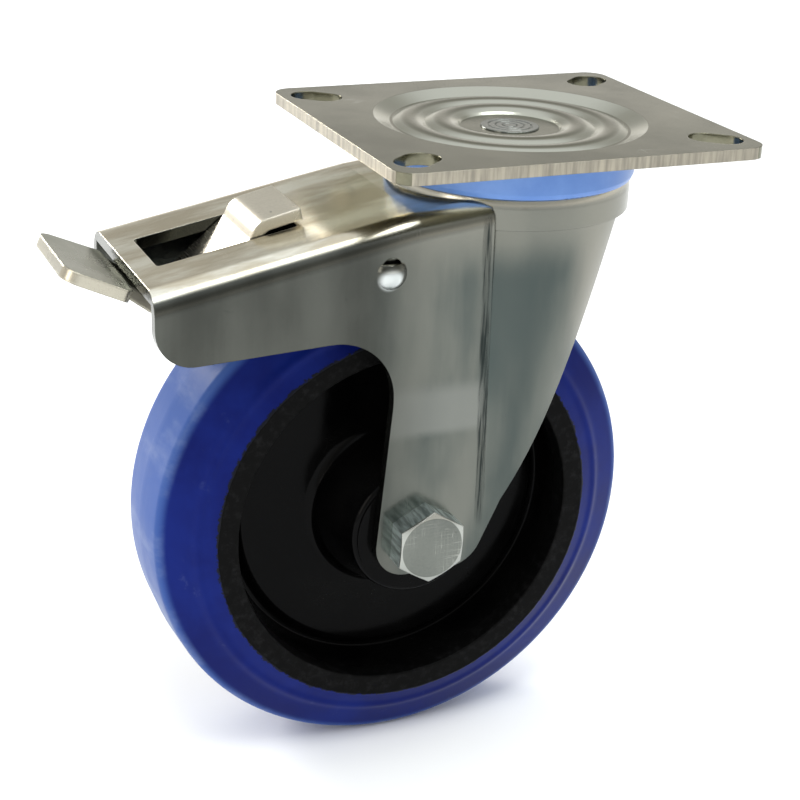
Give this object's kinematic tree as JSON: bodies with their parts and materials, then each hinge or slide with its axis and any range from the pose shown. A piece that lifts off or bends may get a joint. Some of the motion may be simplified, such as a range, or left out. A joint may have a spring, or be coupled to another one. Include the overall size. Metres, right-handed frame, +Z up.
{
  "type": "swivel castor",
  "caption": "Swivel castor with plate, pressed stainless fork, total brake pedal at the rear and an elastic rubber wheel.",
  "frame": {"origin": "on the swivel axis, on the upper face of the mounting plate, at the centre of the four slots", "axes": "+Z up into the furniture, +X to the front, wheel trails towards -X, axle along Y with the bolt's head at -Y"},
  "size_m": [0.1594, 0.083, 0.1575],
  "materials": {
    "stainless_sheet": "cold-rolled stainless sheet, half bright, pressed and tumbled",
    "turned_steel": "turned or cold-headed stainless steel",
    "bearing_steel": "ground and polished",
    "spring_steel": "drawn wire",
    "lever_steel": "stainless sheet, satin",
    "blue_rubber": "satin elastic rubber, light dust",
    "black_plastic": "moulded polyamide, gloss inside and satin on the rim's face",
    "blue_plastic": "satin",
    "cage_plastic": "natural polyamide"
  },
  "bodies": {
    "plate": {"top_plate": "stainless_sheet", "king_pin": "turned_steel", "lower_race": "stainless_sheet", "lock_ring": "stainless_sheet", "dust_seal": "blue_plastic"},
    "upper_ball_ring": {"upper_balls": "bearing_steel"},
    "lower_ball_ring": {"lower_balls": "bearing_steel"},
    "fork_body": {"fork": "stainless_sheet", "axle_bolt": "turned_steel", "axle_nut": "turned_steel", "nut_insert": "blue_plastic", "axle_tube": "turned_steel", "carrier_pin": "turned_steel"},
    "wheel": {"wheel_rim": "black_plastic", "tyre": "blue_rubber", "hub_cap_near": "black_plastic", "hub_cap_far": "black_plastic"},
    "bearing_cage": {"roller_cage": "cage_plastic", "rollers": "bearing_steel"},
    "brake": {"brake_carrier": "stainless_sheet", "brake_shoe": "stainless_sheet", "shoe_rivets": "turned_steel", "lever_pin": "turned_steel", "carrier_spring": "spring_steel"},
    "pedal": {"brake_lever": "lever_steel"}
  },
  "joints": [
    {"name": "swivel", "type": "hinge", "parent": "plate", "child": "fork_body", "pos_m": [0, 0, 0], "axis": [0, 0, 1], "continuous": true},
    {"name": "upper_ring_turn", "type": "hinge", "parent": "plate", "child": "upper_ball_ring", "pos_m": [0, 0, 0], "axis": [0, 0, 1], "continuous": true},
    {"name": "lower_ring_turn", "type": "hinge", "parent": "plate", "child": "lower_ball_ring", "pos_m": [0, 0, 0], "axis": [0, 0, 1], "continuous": true},
    {"name": "wheel_spin", "type": "hinge", "parent": "fork_body", "child": "wheel", "pos_m": [-0.0305, 0, -0.095], "axis": [0, 1, 0], "continuous": true},
    {"name": "cage_spin", "type": "hinge", "parent": "fork_body", "child": "bearing_cage", "pos_m": [-0.0305, 0, -0.095], "axis": [0, 1, 0], "continuous": true},
    {"name": "brake_set", "type": "hinge", "parent": "fork_body", "child": "brake", "pos_m": [-0.041, 0, -0.026], "axis": [0, 1, 0], "range_deg": [-7, 0], "stiffness_Nm_per_rad": 0.3, "springref_deg": 11.46},
    {"name": "pedal_press", "type": "hinge", "parent": "brake", "child": "pedal", "pos_m": [-0.082, 0, -0.04001], "axis": [0, 1, 0], "range_deg": [-10, 0]}
  ],
  "couplings": [
    {"joint": "upper_ring_turn", "follows": "swivel", "ratio": 0.5},
    {"joint": "lower_ring_turn", "follows": "swivel", "ratio": 0.5},
    {"joint": "cage_spin", "follows": "wheel_spin", "ratio": 0.5856},
    {"joint": "pedal_press", "follows": "brake_set", "ratio": 1.4285}
  ]
}
